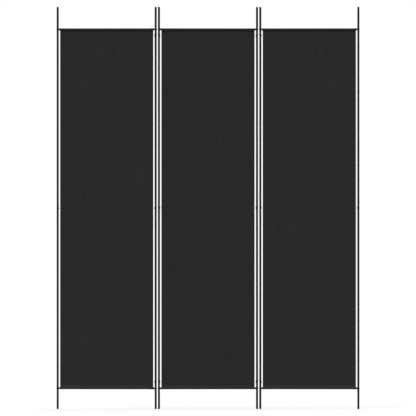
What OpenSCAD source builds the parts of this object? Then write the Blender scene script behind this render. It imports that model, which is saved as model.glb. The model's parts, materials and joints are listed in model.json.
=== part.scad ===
// Folding room divider screen: three fabric panels in tube frames, joined by loose link plates.
// Millimetres, +Z up, with the front towards -Y. The origin is on the floor, under the screen's middle.
// Panels are numbered 0, 1 and 2, and posts 1 to 6, both from left to right.

/* [Screen] */
// Height from the floor to the tops of the posts
screen_h = 2000; // [1400:10:2400]
// Distance between the centres of a panel's two posts
post_spacing = 489.4; // [300:0.2:700]
// Angle by which each panel is turned from the line of the screen, so that it stands
rest_fold = 5; // [3:0.5:30]

/* [Posts] */
// Outer diameter of a post tube
post_d = 10.4; // [9:0.1:13]
// Wall of a post tube
post_wall = 0.9; // [0.7:0.1:1.2]
// Height of the screws that hold the upper tubes to their ferrules
joint_screw_z = 1000; // [700:5:1200]
// How far below those screws the upper and lower tubes meet
seam_drop = 12; // [8:0.5:20]
// Bevel on the tube ends that meet there
seam_bevel = 0.4; // [0.2:0.1:0.6]
// Length of a ferrule, half of it in each tube
ferrule_len = 70; // [50:1:100]
// Wall of a ferrule
ferrule_wall = 1.5; // [1:0.1:2]
// Radial clearance between a ferrule and its tubes
ferrule_gap = 0.05; // [0.02:0.01:0.2]

/* [Caps and feet] */
// Height of a top cap above its tube
cap_h = 2.6; // [2:0.1:5]
// Radius of the rounded rim of a top cap
cap_edge_r = 1.6; // [0.5:0.1:1.9]
// Height of a foot below its tube
foot_h = 4; // [3:0.5:10]
// Radius of the rounded rim of a foot
foot_edge_r = 1; // [0.5:0.1:1.9]
// Length of the plug that holds a cap or foot in its tube
plug_len = 14; // [8:1:30]
// Radial clearance between a plug and its tube
plug_gap = 0.1; // [0.05:0.01:0.2]

/* [Cross bars] */
// Outer diameter of a cross bar
bar_d = 9.6; // [8:0.1:12]
// Wall of a cross bar
bar_wall = 0.9; // [0.7:0.1:1.2]
// Distance from the post tops down to the centre of a top bar
top_bar_drop = 111.7; // [60:0.1:200]
// Height of the centre of a bottom bar
bottom_bar_rise = 103.7; // [60:0.1:200]
// Clearance between a bar's hollowed end and its post
cope_gap = 0.05; // [0.02:0.01:0.2]
// Length of the threaded insert in each end of a bar
insert_len = 16; // [12:1:30]
// Distance from a post's surface to the insert
insert_setback = 1.5; // [1:0.1:5]
// Radial clearance between an insert and its bar
insert_gap = 0.05; // [0.02:0.01:0.2]

/* [Screws] */
// Diameter of every screw's shank
screw_d = 4; // [3:0.1:4.5]
// Radial clearance around a shank
screw_gap = 0.15; // [0.05:0.01:0.3]
// Diameter of the domed heads, which face the fabric
dome_head_d = 9.4; // [8:0.1:11]
// Height of the domed heads
dome_head_h = 2; // [1.6:0.1:2.4]
// Height of the straight rim of a domed head
dome_rim_h = 0.4; // [0.2:0.1:0.6]
// Diameter of the low heads, which face away from the fabric
low_head_d = 7.6; // [6.5:0.1:8.5]
// Height of the low heads
low_head_h = 1; // [0.6:0.1:1.2]
// Height of the straight rim of a low head
low_rim_h = 0.3; // [0.1:0.1:0.4]
// Width of the hexagonal drive socket across its flats
drive_w = 2.5; // [2:0.1:3]
// Depth of the drive socket
drive_depth = 1.4; // [1:0.1:2]
// Length of a bar screw inside its insert
bar_screw_grip = 12; // [8:1:14]
// Length of a joint screw past its ferrule's wall
joint_screw_tail = 1.5; // [0.5:0.1:2]
// Distance from the end of a stop screw to the far side of its post
stop_screw_setback = 0.4; // [0.2:0.1:0.8]

/* [Hinges] */
// Distance between the centres of the two posts that a hinge joins
joint_pitch = 16.4; // [13.6:0.1:20]
// Thickness of a link plate
link_t = 1.5; // [1:0.1:3]
// Width of the ring around each eye of a link
eye_ring = 2.2; // [1.5:0.1:2.4]
// Width of a link between its eyes
waist_w = 8; // [5:0.5:12]
// Radial running clearance between an eye and its post
pivot_gap = 0.1; // [0.05:0.01:0.1]
// Clearance between a link and the screw heads under it
link_rest_gap = 0.3; // [0.2:0.05:0.6]
// Distance from a bar's centre to the stop screws of the hinge beside it
hinge_offset = 31; // [20:0.5:60]

/* [Fabric] */
// Distance from the edge of the fabric to the surface of each post
fabric_side_gap = 7; // [5:0.5:30]
// Thickness of the fabric
cloth_t = 0.8; // [0.4:0.1:1.5]
// Radial clearance between a sleeve and its bar
sleeve_gap = 0.2; // [0.1:0.05:0.5]

/* [Hidden] */
$fn = 64;
PANELS = ["left", "middle", "right"];
HINGES = ["left", "right"];
LEVELS = ["top", "middle", "bottom"];

COAT = "#232426";
STEEL = "#6b6d70";
SCREW = "#2b2c2e";
PLASTIC = "#17181a";
CLOTH = "#2a2a2b";

post_r = post_d / 2;
post_bore_r = post_r - post_wall;
seam_z = joint_screw_z - seam_drop;
ferrule_r = post_bore_r - ferrule_gap;
bar_r = bar_d / 2;
bar_bore_r = bar_r - bar_wall;
bar_heights = [bottom_bar_rise, screen_h - top_bar_drop];
stop_heights = [bottom_bar_rise + hinge_offset, screen_h - top_bar_drop - hinge_offset];
hole_d = screw_d + 2 * screw_gap;
cut = 1; // how far a cut runs past the face that it opens

function panel_angle(panel) = panel == 1 ? rest_fold : -rest_fold;
function panel_x(panel) = (panel - 1) * (post_spacing * cos(rest_fold) + joint_pitch);
function panel_of(post) = floor((post - 1) / 2);
function side_of(post) = post % 2 == 1 ? -1 : 1;
function posts_of(panel) = [2 * panel + 1, 2 * panel + 2];
function is_hinged(post) = post > 1 && post < 6;
function post_place(post) =
    [panel_x(panel_of(post)), 0, 0]
    + side_of(post) * post_spacing / 2 * [cos(panel_angle(panel_of(post))), sin(panel_angle(panel_of(post))), 0];
function stop_z(level) = level == "middle" ? joint_screw_z : stop_heights[level == "top" ? 1 : 0];

// A panel's own frame: X along the panel, with its middle at X = 0.
module at_panel(panel)
    translate([panel_x(panel), 0, 0]) rotate([0, 0, panel_angle(panel)]) children();

// A post's own frame: Z along its axis, +X towards the fabric.
module at_post(post)
    translate(post_place(post))
        rotate([0, 0, panel_angle(panel_of(post)) + (side_of(post) > 0 ? 180 : 0)])
            children();

module at_posts_of(panel)
    for (post = posts_of(panel)) at_post(post) children();

// A cylinder along X, from one X to another.
module rod_x(d, from, to, z)
    translate([from, 0, z]) rotate([0, 90, 0]) cylinder(d = d, h = to - from);

// A low dome on a straight rim, standing on Z = 0.
module domed_head(d, h, rim_h) {
    dome_h = h - rim_h;
    dome_r = (d * d / 4 + dome_h * dome_h) / (2 * dome_h);
    intersection() {
        cylinder(d = d, h = h);
        translate([0, 0, h - dome_r]) sphere(r = dome_r, $fn = 128);
    }
}

// A screw whose head stands up from Z = 0 and whose shank runs down.
module screw(head_d, head_h, rim_h, len)
    difference() {
        union() {
            domed_head(head_d, head_h, rim_h);
            translate([0, 0, -len]) cylinder(d = screw_d, h = len + rim_h);
        }
        translate([0, 0, head_h - drive_depth])
            cylinder(d = drive_w / cos(30), h = drive_depth + cut, $fn = 6);
    }

// A domed screw with its head on the side of the post that faces the fabric.
module screw_from_fabric(z, len)
    translate([post_r, 0, z]) rotate([0, 90, 0])
        screw(dome_head_d, dome_head_h, dome_rim_h, len);

// A low screw with its head on the side of the post that faces away from the fabric.
module screw_from_outside(z, len)
    translate([-post_r, 0, z]) rotate([0, -90, 0])
        screw(low_head_d, low_head_h, low_rim_h, len);

// A tube of a given length, standing on its bevelled end at Z = 0.
module post_tube(len)
    difference() {
        union() {
            cylinder(r1 = post_r - seam_bevel, r2 = post_r, h = seam_bevel);
            translate([0, 0, seam_bevel]) cylinder(r = post_r, h = len - seam_bevel);
        }
        translate([0, 0, -cut]) cylinder(r = post_bore_r, h = len + 2 * cut);
    }

module bar_screw_hole(z) rod_x(hole_d, -post_r - cut, post_r + cut, z);
module stop_screw_hole(z) rod_x(hole_d, -post_r - cut, post_r + cut, z);
module joint_screw_hole() rod_x(hole_d, 0, post_r + cut, joint_screw_z);

module upper_tube(post)
    color(COAT) at_post(post)
        difference() {
            translate([0, 0, seam_z]) post_tube(screen_h - cap_h - seam_z);
            bar_screw_hole(bar_heights[1]);
            joint_screw_hole();
            if (is_hinged(post)) stop_screw_hole(stop_heights[1]);
        }

module lower_tube(post)
    color(COAT) at_post(post)
        difference() {
            translate([0, 0, seam_z]) mirror([0, 0, 1]) post_tube(seam_z - foot_h);
            bar_screw_hole(bar_heights[0]);
            if (is_hinged(post)) stop_screw_hole(stop_heights[0]);
        }

// A cross bar, whose ends are hollowed to sit on its posts.
module cross_bar(panel, z)
    color(COAT) at_panel(panel)
        difference() {
            rod_x(bar_d, -post_spacing / 2, post_spacing / 2, z);
            rod_x(2 * bar_bore_r, -post_spacing / 2 - cut, post_spacing / 2 + cut, z);
            for (side = [-1, 1])
                translate([side * post_spacing / 2, 0, z - bar_d])
                    cylinder(r = post_r + cope_gap, h = 2 * bar_d);
        }

module joint_ferrules(panel)
    color(STEEL) at_posts_of(panel)
        difference() {
            translate([0, 0, seam_z - ferrule_len / 2]) cylinder(r = ferrule_r, h = ferrule_len);
            translate([0, 0, seam_z - ferrule_len / 2 - cut])
                cylinder(r = ferrule_r - ferrule_wall, h = ferrule_len + 2 * cut);
            joint_screw_hole();
        }

module joint_screws(panel)
    color(SCREW) at_posts_of(panel)
        screw_from_fabric(joint_screw_z, post_wall + ferrule_gap + ferrule_wall + joint_screw_tail);

module bar_inserts(panel)
    color(STEEL) at_posts_of(panel)
        for (z = bar_heights)
            difference() {
                insert_x = post_r + insert_setback;
                rod_x(2 * (bar_bore_r - insert_gap), insert_x, insert_x + insert_len, z);
                rod_x(hole_d, insert_x - cut, insert_x + insert_len + cut, z);
            }

module bar_screws(panel)
    color(SCREW) at_posts_of(panel)
        for (z = bar_heights) screw_from_outside(z, post_d + insert_setback + bar_screw_grip);

module hinge_stop_screws(panel)
    color(SCREW)
        for (post = posts_of(panel))
            if (is_hinged(post))
                at_post(post)
                    for (z = stop_heights) screw_from_fabric(z, post_d - stop_screw_setback);

// A disc with a rounded upper rim on a plug, which fills the tube below Z = 0.
module end_plug(h, edge_r) {
    rotate_extrude()
        intersection() {
            square([post_r, h]);
            union() {
                square([post_r, h - edge_r]);
                square([post_r - edge_r, h]);
                translate([post_r - edge_r, h - edge_r]) circle(r = edge_r);
            }
        }
    translate([0, 0, -plug_len]) cylinder(r = post_bore_r - plug_gap, h = plug_len + h / 2);
}

module top_caps(panel)
    color(PLASTIC) at_posts_of(panel)
        translate([0, 0, screen_h - cap_h]) end_plug(cap_h, cap_edge_r);

module feet(panel)
    color(PLASTIC) at_posts_of(panel)
        translate([0, 0, foot_h]) rotate([180, 0, 0]) end_plug(foot_h, foot_edge_r);

// A fabric panel: one sheet with a sleeve around each bar.
module fabric(panel) {
    fabric_w = post_spacing - post_d - 2 * fabric_side_gap;
    sleeve_r = bar_r + sleeve_gap + cloth_t;
    color(CLOTH) at_panel(panel)
        difference() {
            union() {
                translate([-fabric_w / 2, -cloth_t / 2, bar_heights[0]])
                    cube([fabric_w, cloth_t, bar_heights[1] - bar_heights[0]]);
                for (z = bar_heights) rod_x(2 * sleeve_r, -fabric_w / 2, fabric_w / 2, z);
            }
            for (z = bar_heights)
                rod_x(bar_d + 2 * sleeve_gap, -fabric_w / 2 - cut, fabric_w / 2 + cut, z);
        }
}

// A link plate with an eye around each of the two posts that meet at a hinge.
module hinge_link(hinge, level) {
    eye_r = post_r + pivot_gap;
    left_post = hinge == "left" ? 2 : 4;
    color(COAT)
        translate(post_place(left_post) + [0, 0, stop_z(level) + dome_head_d / 2 + link_rest_gap])
            difference() {
                union() {
                    for (x = [0, joint_pitch])
                        translate([x, 0, 0]) cylinder(r = eye_r + eye_ring, h = link_t);
                    translate([0, -waist_w / 2, 0]) cube([joint_pitch, waist_w, link_t]);
                }
                for (x = [0, joint_pitch])
                    translate([x, 0, -cut]) cylinder(r = eye_r, h = link_t + 2 * cut);
            }
}

for (n = [1:6]) {
    upper_tube(n);
    lower_tube(n);
}
for (i = [0:2]) {
    cross_bar(i, bar_heights[1]);
    cross_bar(i, bar_heights[0]);
    fabric(i);
    joint_ferrules(i);
    joint_screws(i);
    bar_inserts(i);
    bar_screws(i);
    hinge_stop_screws(i);
    top_caps(i);
    feet(i);
}
for (hinge = HINGES) for (level = LEVELS)
    hinge_link(hinge, level);
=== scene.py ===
"""A folding room divider screen: its sewn cloth panels, finishes, studio and camera."""

import json
import math

import bmesh
import bpy
from mathutils import Matrix, Vector, noise


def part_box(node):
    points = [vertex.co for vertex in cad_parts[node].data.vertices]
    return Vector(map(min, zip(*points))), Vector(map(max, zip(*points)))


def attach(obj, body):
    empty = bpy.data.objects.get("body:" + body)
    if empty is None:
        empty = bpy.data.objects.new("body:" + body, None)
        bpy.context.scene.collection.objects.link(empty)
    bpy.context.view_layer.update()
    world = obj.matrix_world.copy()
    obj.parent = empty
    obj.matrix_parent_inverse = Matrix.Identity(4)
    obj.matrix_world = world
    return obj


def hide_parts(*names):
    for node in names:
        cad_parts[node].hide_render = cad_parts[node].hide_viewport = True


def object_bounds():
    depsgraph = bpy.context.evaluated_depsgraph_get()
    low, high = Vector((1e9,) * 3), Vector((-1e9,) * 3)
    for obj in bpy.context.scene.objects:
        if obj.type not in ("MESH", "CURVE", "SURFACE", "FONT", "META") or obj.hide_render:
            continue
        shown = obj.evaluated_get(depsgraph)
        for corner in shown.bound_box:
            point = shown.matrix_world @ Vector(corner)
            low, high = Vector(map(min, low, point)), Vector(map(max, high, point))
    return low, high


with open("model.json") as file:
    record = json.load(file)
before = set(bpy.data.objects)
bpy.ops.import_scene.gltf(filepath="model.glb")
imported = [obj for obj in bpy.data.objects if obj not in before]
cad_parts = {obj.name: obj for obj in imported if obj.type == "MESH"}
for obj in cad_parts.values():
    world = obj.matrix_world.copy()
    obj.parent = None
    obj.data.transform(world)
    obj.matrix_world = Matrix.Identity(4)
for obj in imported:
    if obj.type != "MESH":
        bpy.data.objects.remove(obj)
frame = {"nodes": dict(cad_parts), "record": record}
cad_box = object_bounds()

MM = 0.001
PANELS = ("left", "middle", "right")

# The cloth and how it is sewn
CLOTH_T = 0.4 * MM  # thickness of one layer
LAYER = 0.44 * MM  # distance between two layers that lie on each other
SLEEVE_SLACK = 0.1 * MM  # between a bar and the cloth round it
SEAM_DROP = 12.4 * MM  # from a bar's centre to the seam that closes its sleeve
FLAP = 3.2 * MM  # from that seam to the cut edge of the cloth
SIDE_GAP = 7 * MM  # bare bar between the cloth and a post
HEM = 10 * MM  # cloth turned to the back along each side
HEM_EASE = 7 * MM  # width over which the cloth steps up onto a hem

# How finely the cloth is divided
SLEEVE_STEPS = 18  # round a bar
WEB_ROWS = 84  # between the sleeves
WEB_COLUMNS = 36  # between the side hems
SEAM_ROWS = (1.2 * MM, 4 * MM, 9 * MM, 16 * MM)  # extra rows next to a sleeve's seam
SEAM_MARGIN = 28 * MM  # from the seam to the first even row

# How the stretched cloth stands out of its plane
CREASE = (22 * MM, 260 * MM, 0.3 * MM)  # width, length and height of the creases at the seams
CREASE_FADE = 120 * MM
DRIFT = (190 * MM, 520 * MM, 0.5 * MM)  # width, length and height of the slow waves
HELD_BY_HEM = 60 * MM  # how far a hem keeps the cloth flat
HELD_BY_SEAM = 25 * MM

# The lockstitch
STITCH_PITCH = 3.5 * MM
STITCH_LENGTH = 2.7 * MM
THREAD_R = 0.24 * MM
HEM_STITCH_INSET = 7.5 * MM  # from the side edge to the hem's stitches
SEAM_STITCH_DROP = 0.9 * MM  # from the sleeve's closing line to its stitches
SEAM_STITCH_INSET = 1 * MM  # from the side edge to the first of them

# How many metres apart a wave texture of scale 1 draws its bands
WAVE_GAP = math.pi / 10

# The studio
VIEW_HEIGHT = 2.069  # height of the view at the screen
LENS = 1500  # a long lens, because the view has next to no perspective
SENSOR = 36
FLOOR_SIZE = 24
# Each sun: its name, strength, and its softness, elevation and azimuth in degrees
SUNS = (("key", 1.3, 22, 52, -25), ("fill_behind", 1.2, 35, 55, 150))


# ---------------------------------------------------------------- materials


def linear(hex_colour):
    """The linear RGBA of an sRGB hex colour."""
    shares = [int(hex_colour[i : i + 2], 16) / 255 for i in (1, 3, 5)]
    light = [c / 12.92 if c <= 0.04045 else ((c + 0.055) / 1.055) ** 2.4 for c in shares]
    return (*light, 1.0)


def add(tree, kind, inputs=None, **settings):
    """Adds a node with its settings, and gives each of its inputs a value or a link."""
    node = tree.nodes.new(kind)
    for name, value in settings.items():
        setattr(node, name, value)
    for name, value in (inputs or {}).items():
        if isinstance(value, bpy.types.NodeSocket):
            tree.links.new(value, node.inputs[name])
        else:
            node.inputs[name].default_value = value
    return node


def new_finish(name):
    """A material with an empty node tree."""
    finish = bpy.data.materials.new(name)
    finish.use_nodes = True
    finish.node_tree.nodes.clear()
    return finish, finish.node_tree


def end_finish(tree, pattern, colours, values, gloss=None, relief=None):
    """Ends a material in one Principled shader.
    Its colour runs from one hex value to another with a 0 to 1 pattern, and its roughness
    between the two numbers of gloss. relief is another such pattern, with the depth in metres
    to which it raises the surface. values holds what is the same all over."""
    low, high = (linear(colour) for colour in colours)
    mix = add(tree, "ShaderNodeMix", {0: pattern, 6: low, 7: high}, data_type="RGBA")
    inputs = {**values, "Base Color": mix.outputs[2]}
    if gloss:
        spread = {"Value": pattern, "To Min": gloss[0], "To Max": gloss[1]}
        inputs["Roughness"] = add(tree, "ShaderNodeMapRange", spread).outputs["Result"]
    if relief:
        rise = {"Height": relief[0], "Distance": relief[1], "Strength": 1.0}
        inputs["Normal"] = add(tree, "ShaderNodeBump", rise).outputs["Normal"]
    shader = add(tree, "ShaderNodeBsdfPrincipled", inputs)
    add(tree, "ShaderNodeOutputMaterial", {"Surface": shader.outputs["BSDF"]})


def powder_coat():
    """Polyester powder baked onto steel tube.
    It gives a satin black with a faint orange peel and a slow drift in gloss."""
    finish, tree = new_finish("powder_coated_steel")
    place = add(tree, "ShaderNodeTexCoord").outputs["Object"]
    drift = add(tree, "ShaderNodeTexNoise", {"Vector": place, "Scale": 1 / (90 * MM)})
    # Orange peel is 0.5 to 1 mm across, and is drawn at 1.2 mm so that it shows close up.
    peel = add(tree, "ShaderNodeTexNoise", {"Vector": place, "Scale": 1 / (1.2 * MM)})
    end_finish(
        tree,
        drift.outputs["Fac"],
        colours=("#0c0c0d", "#121214"),
        values={"Specular IOR Level": 0.25},
        gloss=(0.32, 0.46),
        relief=(peel.outputs["Fac"], 0.06 * MM),
    )
    return finish


def black_oxide():
    """Steel screws blackened in a hot bath.
    It gives a dark grey metal, dull where the oxide is thick and brighter where it has worn."""
    finish, tree = new_finish("black_oxide_steel")
    place = add(tree, "ShaderNodeTexCoord").outputs["Object"]
    patches = {"Vector": place, "Scale": 1 / (3 * MM), "Detail": 4.0}
    wear = add(tree, "ShaderNodeTexNoise", patches)
    grain = add(tree, "ShaderNodeTexNoise", {"Vector": place, "Scale": 1 / (0.8 * MM)})
    end_finish(
        tree,
        wear.outputs["Fac"],
        colours=("#1b1b1d", "#2e2e31"),
        values={"Metallic": 1.0},
        gloss=(0.52, 0.36),
        relief=(grain.outputs["Fac"], 0.01 * MM),
    )
    return finish


def zinc_plate():
    """Zinc plate on turned steel, inside the tubes.
    It gives a pale blue-grey metal with fine rings from the lathe."""
    finish, tree = new_finish("zinc_plated_steel")
    place = add(tree, "ShaderNodeTexCoord").outputs["Object"]
    cloud = add(tree, "ShaderNodeTexNoise", {"Vector": place, "Scale": 1 / (12 * MM)})
    # Turning marks are 0.1 mm apart, and are drawn 0.6 mm apart so that they show close up.
    marks = {"Vector": place, "Scale": WAVE_GAP / (0.6 * MM)}
    rings = add(tree, "ShaderNodeTexWave", marks, bands_direction="Z")
    end_finish(
        tree,
        cloud.outputs["Fac"],
        colours=("#a9adb2", "#c3c4c4"),
        values={"Metallic": 1.0},
        gloss=(0.24, 0.4),
        relief=(rings.outputs["Fac"], 0.01 * MM),
    )
    return finish


def moulded_plastic():
    """Injection-moulded polypropylene.
    It gives a dull black with the fine grain of a spark-eroded mould."""
    finish, tree = new_finish("moulded_polypropylene")
    place = add(tree, "ShaderNodeTexCoord").outputs["Object"]
    drift = add(tree, "ShaderNodeTexNoise", {"Vector": place, "Scale": 1 / (6 * MM)})
    grain = add(tree, "ShaderNodeTexNoise", {"Vector": place, "Scale": 1 / (0.6 * MM)})
    end_finish(
        tree,
        drift.outputs["Fac"],
        colours=("#0f0f10", "#151516"),
        values={"IOR": 1.49, "Specular IOR Level": 0.4},
        gloss=(0.48, 0.6),
        relief=(grain.outputs["Fac"], 0.02 * MM),
    )
    return finish


def moulded_rubber():
    """Moulded synthetic rubber.
    It gives a matt black that greys with floor dust towards the ground."""
    finish, tree = new_finish("moulded_rubber")
    place = add(tree, "ShaderNodeTexCoord").outputs["Object"]
    height = add(tree, "ShaderNodeSeparateXYZ", {"Vector": place}).outputs["Z"]
    fade = {"Value": height, "From Max": 4 * MM, "To Min": 1.0, "To Max": 0.0}
    low = add(tree, "ShaderNodeMapRange", fade).outputs["Result"]
    specks = add(tree, "ShaderNodeTexNoise", {"Vector": place, "Scale": 1 / (1.2 * MM)})
    on_floor = {0: low, 1: specks.outputs["Fac"]}
    dust = add(tree, "ShaderNodeMath", on_floor, operation="MULTIPLY")
    grain = add(tree, "ShaderNodeTexNoise", {"Vector": place, "Scale": 1 / (0.7 * MM)})
    end_finish(
        tree,
        dust.outputs["Value"],
        colours=("#101010", "#2b2a28"),
        values={"IOR": 1.52, "Specular IOR Level": 0.3},
        gloss=(0.75, 0.95),
        relief=(grain.outputs["Fac"], 0.03 * MM),
    )
    return finish


def woven_polyester():
    """Plain-woven polyester.
    It gives a matt charcoal black whose crossing threads, slubs and nap break up the light."""
    finish, tree = new_finish("woven_polyester")
    place = add(tree, "ShaderNodeUVMap", uv_map="cut_cloth").outputs["UV"]
    # Threads are 0.45 mm apart, and are drawn 2.2 mm apart so that the weave shows close up.
    thread = 2.2 * MM
    ribs = {"Vector": place, "Scale": WAVE_GAP / thread}
    warp = add(tree, "ShaderNodeTexWave", ribs, bands_direction="X").outputs["Fac"]
    weft = add(tree, "ShaderNodeTexWave", ribs, bands_direction="Y").outputs["Fac"]
    squares = {"Vector": place, "Scale": 1 / thread}
    over = add(tree, "ShaderNodeTexChecker", squares).outputs["Fac"]
    crossing = {0: over, 2: warp, 3: weft}
    weave = add(tree, "ShaderNodeMix", crossing, data_type="FLOAT").outputs[0]
    # A slub is a thicker stretch of thread, 5 mm wide here and 70 to 90 mm long.
    slubs = []
    for width, length in ((5 * MM, 90 * MM), (70 * MM, 5 * MM)):
        stretch = {"Vector": place, "Scale": (1 / width, 1 / length, 1)}
        along = add(tree, "ShaderNodeMapping", stretch).outputs["Vector"]
        streak = {"Vector": along, "Scale": 1.0, "Detail": 1.0}
        slubs.append(add(tree, "ShaderNodeTexNoise", streak).outputs["Fac"])
    both = add(tree, "ShaderNodeMath", {0: slubs[0], 1: slubs[1]}, operation="ADD")
    share = {0: both.outputs["Value"], 1: 0.7, 2: -0.23}
    slubby = add(tree, "ShaderNodeMath", share, operation="MULTIPLY_ADD")
    share = {0: weave, 1: 0.35, 2: slubby.outputs["Value"]}
    shade = add(tree, "ShaderNodeMath", share, operation="MULTIPLY_ADD")
    end_finish(
        tree,
        shade.outputs["Value"],
        colours=("#252526", "#333334"),
        values={
            "Specular IOR Level": 0.12,
            "Roughness": 0.85,
            "Sheen Weight": 0.05,
            "Sheen Roughness": 0.5,
            "Sheen Tint": linear("#8a8a8c"),
        },
        relief=(weave, 0.16 * MM),
    )
    return finish


def sewing_thread():
    """Spun polyester sewing thread.
    It gives a black with the slight lustre of twisted yarn."""
    finish, tree = new_finish("spun_polyester_thread")
    place = add(tree, "ShaderNodeTexCoord").outputs["Object"]
    ply = add(tree, "ShaderNodeTexNoise", {"Vector": place, "Scale": 1 / (0.5 * MM)})
    end_finish(
        tree,
        ply.outputs["Fac"],
        colours=("#2b2b2d", "#414144"),
        values={"Specular IOR Level": 0.3, "Sheen Weight": 0.15},
        gloss=(0.5, 0.7),
    )
    return finish


# ---------------------------------------------------------------- the cloth panels


class Panel:
    """Where a panel stands, from the feet of its two posts and from its bars."""

    def __init__(self, name, feet):
        self.name = name
        self.centre = (feet[0] + feet[1]) / 2
        self.along = (feet[1] - feet[0]).normalized()
        self.front = Vector((self.along.y, -self.along.x, 0))
        low_post, high_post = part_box("post_1_upper_tube")
        post_r = (high_post.x - low_post.x) / 2
        self.half_width = (feet[1] - feet[0]).length / 2 - post_r - SIDE_GAP
        self.bars = []
        for level in ("top", "bottom"):
            low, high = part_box(f"{name}_{level}_bar")
            self.bars.append((low.z + high.z) / 2)
            self.bar_r = (high.z - low.z) / 2

    def at(self, across, out, up):
        """The place of a point across, in front of and above the middle of the panel's foot."""
        return self.centre + self.along * across + self.front * out + Vector((0, 0, up))


def spaced(start, end, count):
    """count + 1 numbers from start to end."""
    return [start + (end - start) * i / count for i in range(count + 1)]


def between(a, b, share):
    """The point at that share of the way from a to b."""
    return tuple(p + (q - p) * share for p, q in zip(a, b))


def sleeve_line(bar_r, hemmed):
    """The cloth's line round a top bar, as (out, up) from the bar's centre.
    It runs from the cut edge behind, over the bar and down to the seam in front.
    hemmed is 1 where a side hem lies inside the sleeve and 0 elsewhere."""
    r = bar_r + SLEEVE_SLACK + CLOTH_T / 2 + hemmed * LAYER
    behind = -(1 + 2 * hemmed) * LAYER
    lean = math.atan(behind / SEAM_DROP)
    front_touch = math.acos(r / SEAM_DROP)
    back_touch = 2 * math.pi + lean - math.acos(r / math.hypot(SEAM_DROP, behind))
    turns = spaced(back_touch, front_touch, SLEEVE_STEPS)
    round_bar = [(r * math.sin(turn), -r * math.cos(turn)) for turn in turns]
    flap = [(behind, -SEAM_DROP - FLAP * (1 - s)) for s in (0, 0.1, 0.5, 0.8)]
    back = [between((behind, -SEAM_DROP), round_bar[0], s) for s in (0.03, 0.12, 0.35, 0.7)]
    front = [between(round_bar[-1], (0, -SEAM_DROP), s) for s in (0.3, 0.65, 0.88, 0.97)]
    return flap + back + round_bar + front


def cloth_line(panel, hemmed):
    """The whole cloth in cross-section, as (out, up): top sleeve, web and bottom sleeve."""
    top, bottom = panel.bars
    sleeve = sleeve_line(panel.bar_r, hemmed)
    web_top, web_bottom = top - SEAM_DROP, bottom + SEAM_DROP
    web = [web_top - row for row in SEAM_ROWS]
    web += spaced(web_top - SEAM_MARGIN, web_bottom + SEAM_MARGIN, WEB_ROWS)
    web += [web_bottom + row for row in reversed(SEAM_ROWS)]
    line = [(out, top + up) for out, up in sleeve]
    line += [(0, up) for up in web]
    line += [(out, bottom - up) for out, up in reversed(sleeve)]
    return line


def backs(line):
    """For each point of a line, the direction towards the cloth's back face."""
    found = []
    for i in range(len(line)):
        (out_0, up_0), (out_1, up_1) = line[max(i - 1, 0)], line[min(i + 1, len(line) - 1)]
        along = Vector((out_1 - out_0, up_1 - up_0)).normalized()
        found.append((along.y, -along.x))
    return found


def distances(line):
    """How far along the line each of its points is."""
    total, found = 0.0, [0.0]
    for a, b in zip(line, line[1:]):
        total += math.dist(a, b)
        found.append(total)
    return found


def cloth_columns(half):
    """The columns of the cloth from its left cut edge to its right one.
    Each is its place on the cut cloth, its place on the panel, how many layers it lies
    behind the front one, and how far it has stepped up onto the hem, from 0 to 1."""
    fold = 0.5 * LAYER
    inner = [
        (half - fold, 0, 1),
        (half - HEM * 0.5, 0, 1),
        (half - HEM, 0, 1),
        (half - HEM - HEM_EASE * 0.5, 0, 0.5),
        (half - HEM - HEM_EASE, 0, 0),
    ]
    hem = [(half, 0.5, 1), (half - fold, 1, 1), (half - HEM * 0.5, 1, 1), (half - HEM, 1, 1)]
    middle = half - HEM - HEM_EASE
    side = [(2 * half - x, x, layer, hemmed) for x, layer, hemmed in reversed(hem)]
    side += [(x, x, layer, hemmed) for x, layer, hemmed in inner]
    web = [(x, x, 0, 0) for x in spaced(-middle, middle, WEB_COLUMNS)[1:-1]]
    left = [(-cut, -x, layer, hemmed) for cut, x, layer, hemmed in side]
    return left + web + side[::-1]


def smooth(share):
    """An even rise from 0 to 1 that starts and ends level."""
    share = min(max(share, 0.0), 1.0)
    return share * share * (3 - 2 * share)


def ripple(x, up, panel, seed):
    """How far the stretched cloth stands out of its plane at a point.
    Short creases fade away from the seams, over a slow drift."""
    top, bottom = panel.bars[0] - SEAM_DROP, panel.bars[1] + SEAM_DROP
    from_seam = min(top - up, up - bottom)
    from_side = panel.half_width - HEM - HEM_EASE - abs(x)
    if from_seam <= 0 or from_side <= 0:
        return 0.0
    free = smooth(from_side / HELD_BY_HEM) * smooth(from_seam / HELD_BY_SEAM)
    width, length, crease_height = CREASE
    crease = noise.noise(Vector((x / width, up / length, seed)))
    crease *= math.exp(-from_seam / CREASE_FADE)
    width, length, drift_height = DRIFT
    drift = noise.noise(Vector((x / width, up / length, seed + 40)))
    return free * (crease_height * crease + drift_height * drift)


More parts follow.
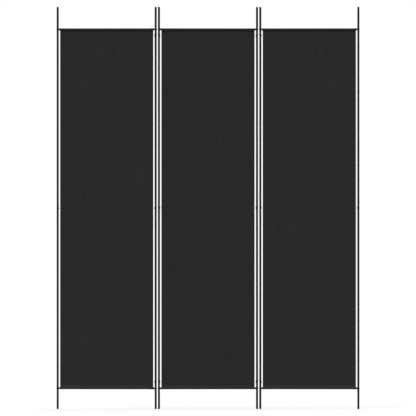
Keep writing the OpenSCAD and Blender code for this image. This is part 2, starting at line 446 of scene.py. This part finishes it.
def sew_cloth(panel, seed, finish):
    """One strip of cloth, hemmed at its sides and closed into a sleeve round each bar.
    It gives the piece and the width and length that the cloth was cut to."""
    plain, hemmed = cloth_line(panel, 0), cloth_line(panel, 1)
    back = backs(hemmed)
    down = distances(plain)
    columns = cloth_columns(panel.half_width)
    bm = bmesh.new()
    nx, ny = len(columns) - 1, len(plain) - 1
    bmesh.ops.create_grid(bm, x_segments=nx, y_segments=ny, size=1)
    cut = {}
    for v in bm.verts:
        column, row = round((v.co.x + 1) / 2 * nx), round((1 - v.co.y) / 2 * ny)
        flat, x, layer, over_hem = columns[column]
        out, up = between(plain[row], hemmed[row], over_hem)
        out += back[row][0] * layer * LAYER
        up += back[row][1] * layer * LAYER
        if layer == 0 and over_hem == 0:
            out += ripple(x, up, panel, seed)
        cut[v] = (flat, down[row])
        v.co = panel.at(x, out, up)
    uv = bm.loops.layers.uv.new("cut_cloth")
    for face in bm.faces:
        face.smooth = True
        for loop in face.loops:
            loop[uv].uv = cut[loop.vert]
    cloth = make_piece(f"{panel.name}_cloth", bm, finish)
    turn = cloth.modifiers.new("rounding", "SUBSURF")
    turn.levels = turn.render_levels = 1
    turn.boundary_smooth = "PRESERVE_CORNERS"
    wall = cloth.modifiers.new("thickness", "SOLIDIFY")
    wall.thickness = CLOTH_T
    wall.offset = 0
    return cloth, (2 * columns[-1][0], down[-1])


def make_piece(name, bm, finish):
    """A finished bmesh as an object at the origin."""
    mesh = bpy.data.meshes.new(name)
    bm.to_mesh(mesh)
    bm.free()
    mesh.materials.append(finish)
    piece = bpy.data.objects.new(name, mesh)
    bpy.context.scene.collection.objects.link(piece)
    return piece


def stitch_row(bm, start, end, out):
    """A row of lockstitches from start to end, lying on a surface that faces out."""
    way = (end - start).normalized()
    turn = Matrix((way, out.cross(way), out)).transposed().to_4x4()
    size = Matrix.Diagonal((STITCH_LENGTH / 2, THREAD_R, THREAD_R, 1))
    first = Matrix.Translation(start + way * STITCH_PITCH / 2)
    one = bmesh.new()
    bmesh.ops.create_icosphere(one, subdivisions=1, radius=1, matrix=first @ turn @ size)
    stitch = bpy.data.meshes.new("stitch")
    one.to_mesh(stitch)
    one.free()
    for _ in range(int((end - start).length / STITCH_PITCH)):
        bm.from_mesh(stitch)
        stitch.transform(Matrix.Translation(way * STITCH_PITCH))
    bpy.data.meshes.remove(stitch)


def sew_seams(panel, finish):
    """The stitches that close both sleeves and hold both side hems, in front and behind."""
    bm = bmesh.new()
    half = panel.half_width
    flat, end = half - HEM - HEM_EASE, half - SEAM_STITCH_INSET
    front = CLOTH_T / 2
    back, hem_back = -LAYER - front, -3 * LAYER - front
    for bar, away in ((panel.bars[0], -1), (panel.bars[1], 1)):
        up = bar + away * (SEAM_DROP + SEAM_STITCH_DROP)
        stitch_row(bm, panel.at(-end, front, up), panel.at(end, front, up), panel.front)
        stitch_row(bm, panel.at(-flat, back, up), panel.at(flat, back, up), -panel.front)
        for side in (-1, 1):
            start, stop = (panel.at(side * x, hem_back, up) for x in (end, half - HEM))
            stitch_row(bm, start, stop, -panel.front)
    high, low = panel.bars[0] - SEAM_DROP - FLAP, panel.bars[1] + SEAM_DROP + FLAP
    for side in (-1, 1):
        x = side * (half - HEM_STITCH_INSET)
        stitch_row(bm, panel.at(x, front, high), panel.at(x, front, low), panel.front)
        stitch_row(bm, panel.at(x, back, high), panel.at(x, back, low), -panel.front)
    for face in bm.faces:
        face.smooth = True
    return make_piece(f"{panel.name}_stitching", bm, finish)


# ---------------------------------------------------------------- the studio


def light_studio():
    """A white room to the camera, whose soft light comes mostly from above."""
    world = bpy.data.worlds.new("studio")
    world.use_nodes = True
    bpy.context.scene.world = world
    tree = world.node_tree
    tree.nodes.clear()
    direction = add(tree, "ShaderNodeTexCoord").outputs["Generated"]
    up = add(tree, "ShaderNodeSeparateXYZ", {"Vector": direction}).outputs["Z"]
    rise = {"Value": up, "From Min": -0.6, "From Max": 0.8, "To Min": 0.2, "To Max": 1.1}
    glow = add(tree, "ShaderNodeMapRange", rise).outputs["Result"]
    lit = add(tree, "ShaderNodeBackground", {"Strength": glow}).outputs["Background"]
    white = {"Color": (1, 1, 1, 1), "Strength": 1.0}
    seen = add(tree, "ShaderNodeBackground", white).outputs["Background"]
    eye = add(tree, "ShaderNodeLightPath").outputs["Is Camera Ray"]
    mix = add(tree, "ShaderNodeMixShader", {0: eye, 1: lit, 2: seen})
    add(tree, "ShaderNodeOutputWorld", {"Surface": mix.outputs["Shader"]})
    for name, strength, softness, elevation, azimuth in SUNS:
        lamp = bpy.data.lights.new(name, "SUN")
        lamp.energy = strength
        lamp.angle = math.radians(softness)
        sun = bpy.data.objects.new(name, lamp)
        sun.rotation_euler = (math.radians(90 - elevation), 0, math.radians(azimuth))
        bpy.context.scene.collection.objects.link(sun)


def lay_floor():
    """A plain pale floor, seen by the camera and left out of the light on the screen."""
    bm = bmesh.new()
    bmesh.ops.create_grid(bm, x_segments=1, y_segments=1, size=FLOOR_SIZE / 2)
    finish, tree = new_finish("pale_studio_floor")
    place = add(tree, "ShaderNodeTexCoord").outputs["Object"]
    cloud = add(tree, "ShaderNodeTexNoise", {"Vector": place, "Scale": 1 / 0.8})
    # Mostly its own glow, so that it is as white as the room and still takes soft shadows.
    end_finish(
        tree,
        cloud.outputs["Fac"],
        colours=("#7c7c7c", "#808080"),
        values={
            "Roughness": 0.95,
            "Specular IOR Level": 0.0,
            "Emission Color": linear("#ffffff"),
            "Emission Strength": 0.74,
        },
    )
    floor = make_piece("floor", bm, finish)
    floor.visible_diffuse = False
    floor.visible_glossy = False


def place_camera():
    """A camera straight in front, at half height."""
    lens = bpy.data.cameras.new("camera")
    lens.lens = LENS
    lens.sensor_width = SENSOR
    away = VIEW_HEIGHT * LENS / SENSOR
    lens.clip_end = 4 * away
    camera = bpy.data.objects.new("camera", lens)
    low, high = cad_box
    camera.location = (0, (low.y + high.y) / 2 - away, (low.z + high.z) / 2)
    camera.rotation_euler = (math.radians(90), 0, 0)
    bpy.context.scene.collection.objects.link(camera)
    bpy.context.scene.camera = camera
    bpy.context.scene.view_settings.view_transform = "Standard"


# ---------------------------------------------------------------- all together

finishes = {
    "frame_coat": powder_coat(),
    "fabric": woven_polyester(),
    "bare_steel": zinc_plate(),
    "black_screw": black_oxide(),
    "black_plastic": moulded_plastic(),
    "foot_rubber": moulded_rubber(),
}
for part in frame["record"]["subparts"]:
    for place in frame["nodes"][part["node"]].material_slots:
        place.material = finishes[part["material_slot"]]

thread = sewing_thread()
feet = [Vector(mount["pos_m"]) for mount in frame["record"]["mounts"]]
for i, name in enumerate(PANELS):
    panel = Panel(name, feet[2 * i : 2 * i + 2])
    cloth, cut_size = sew_cloth(panel, 10 * i, finishes["fabric"])
    seams = sew_seams(panel, thread)
    for piece in (cloth, seams):
        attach(piece, f"{name}_panel")
    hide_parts(f"{name}_fabric")

light_studio()
lay_floor()
place_camera()
